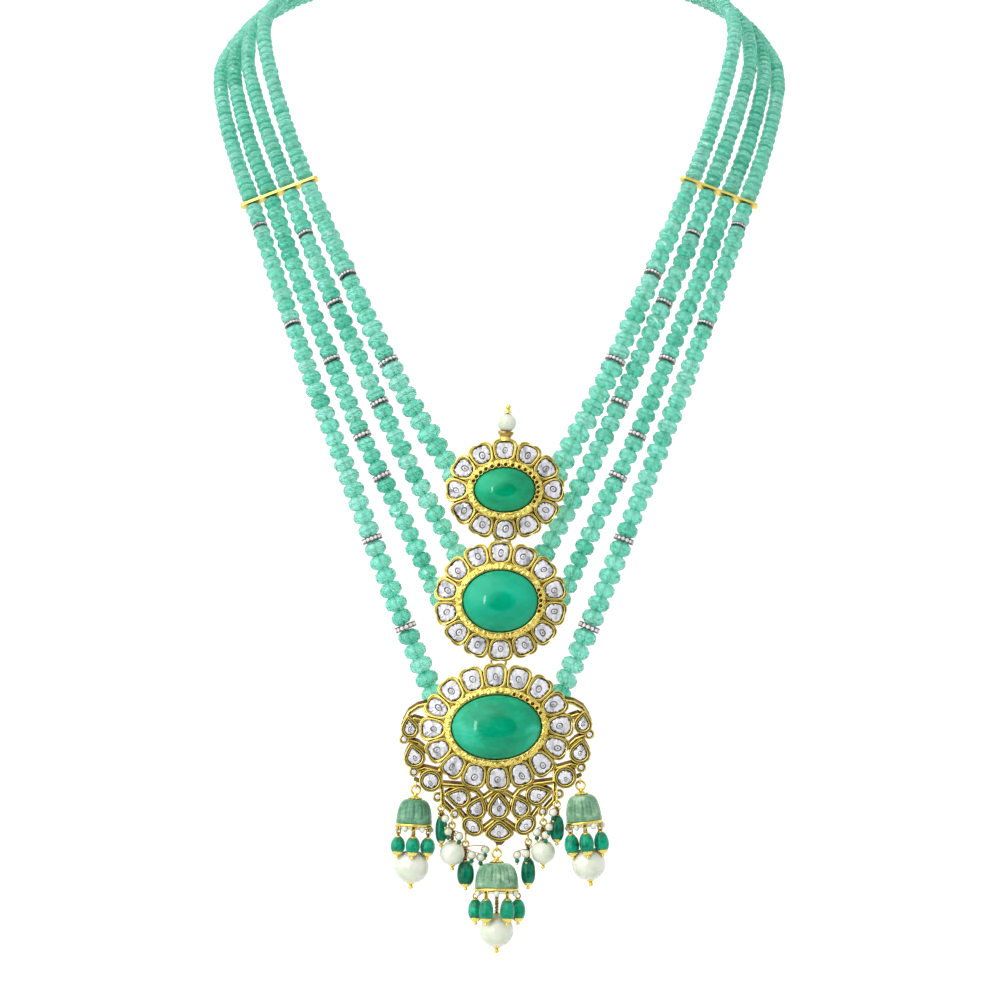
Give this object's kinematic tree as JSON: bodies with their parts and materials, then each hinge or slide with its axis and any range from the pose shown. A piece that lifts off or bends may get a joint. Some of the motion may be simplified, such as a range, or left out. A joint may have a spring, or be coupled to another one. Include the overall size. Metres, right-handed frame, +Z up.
{
  "type": "polki necklace",
  "caption": "Long multi-strand emerald bead necklace with gold medallions set with polki stones and oval cabochons, a pierced crescent, bell drops and pearls.",
  "frame": {"origin": "middle of the neck opening, level with the tops of the shoulders, where the necklace sits", "axes": "+Z up along the necklace's length, front faces -Y, +X to the right seen from the front"},
  "size_m": [0.1764, 0.1673, 0.305],
  "materials": {
    "gold": "polished and hammered",
    "polki": "flat cut over foil",
    "top_cabochon": "polished",
    "middle_cabochon": "polished",
    "bottom_cabochon": "polished",
    "bead": "faceted",
    "emerald": "carved and polished",
    "dome": "carved",
    "pearl": "lustrous",
    "pave": "set with small stones",
    "thread": "twisted"
  },
  "bodies": {
    "necklace": {"top_setting": "gold", "middle_setting": "gold", "bottom_setting": "gold", "top_polki": "polki", "middle_polki": "polki", "bottom_polki": "polki", "crescent_polki": "polki", "top_cabochon": "top_cabochon", "middle_cabochon": "middle_cabochon", "bottom_cabochon": "bottom_cabochon", "finial_pearl": "pearl", "upper_link": "gold", "lower_link": "gold", "left_spacer": "gold", "right_spacer": "gold", "clasp": "gold", "left_strand_a_beads": "bead", "left_strand_a_thread": "thread", "left_rondelles": "pave", "right_strand_a_beads": "bead", "right_strand_a_thread": "thread", "right_rondelles": "pave", "left_strand_b": "bead", "left_strand_c": "bead", "left_strand_d": "bead", "right_strand_b": "bead", "right_strand_c": "bead", "right_strand_d": "bead", "left_neck_a": "bead", "left_neck_b": "bead", "left_neck_c": "bead", "left_neck_d": "bead", "right_neck_a": "bead", "right_neck_b": "bead", "right_neck_c": "bead", "right_neck_d": "bead", "left_drop_wires": "gold", "left_drop_stones": "emerald", "right_drop_wires": "gold", "right_drop_stones": "emerald"},
    "left_bell": {"left_bell_gold": "gold", "left_bell_dome": "dome", "left_bell_drops": "emerald", "left_bell_pearl": "pearl"},
    "centre_bell": {"centre_bell_gold": "gold", "centre_bell_dome": "dome", "centre_bell_drops": "emerald", "centre_bell_pearl": "pearl"},
    "right_bell": {"right_bell_gold": "gold", "right_bell_dome": "dome", "right_bell_drops": "emerald", "right_bell_pearl": "pearl"}
  },
  "joints": [
    {"name": "left_bell_swing", "type": "hinge", "parent": "necklace", "child": "left_bell", "pos_m": [-0.02496, -0.081, -0.22902], "axis": [1, 0, 0], "range_deg": [-60, 60]},
    {"name": "centre_bell_swing", "type": "hinge", "parent": "necklace", "child": "centre_bell", "pos_m": [-0.00075, -0.081, -0.24809], "axis": [1, 0, 0], "range_deg": [-60, 60]},
    {"name": "right_bell_swing", "type": "hinge", "parent": "necklace", "child": "right_bell", "pos_m": [0.02422, -0.081, -0.22773], "axis": [1, 0, 0], "range_deg": [-60, 60]}
  ]
}
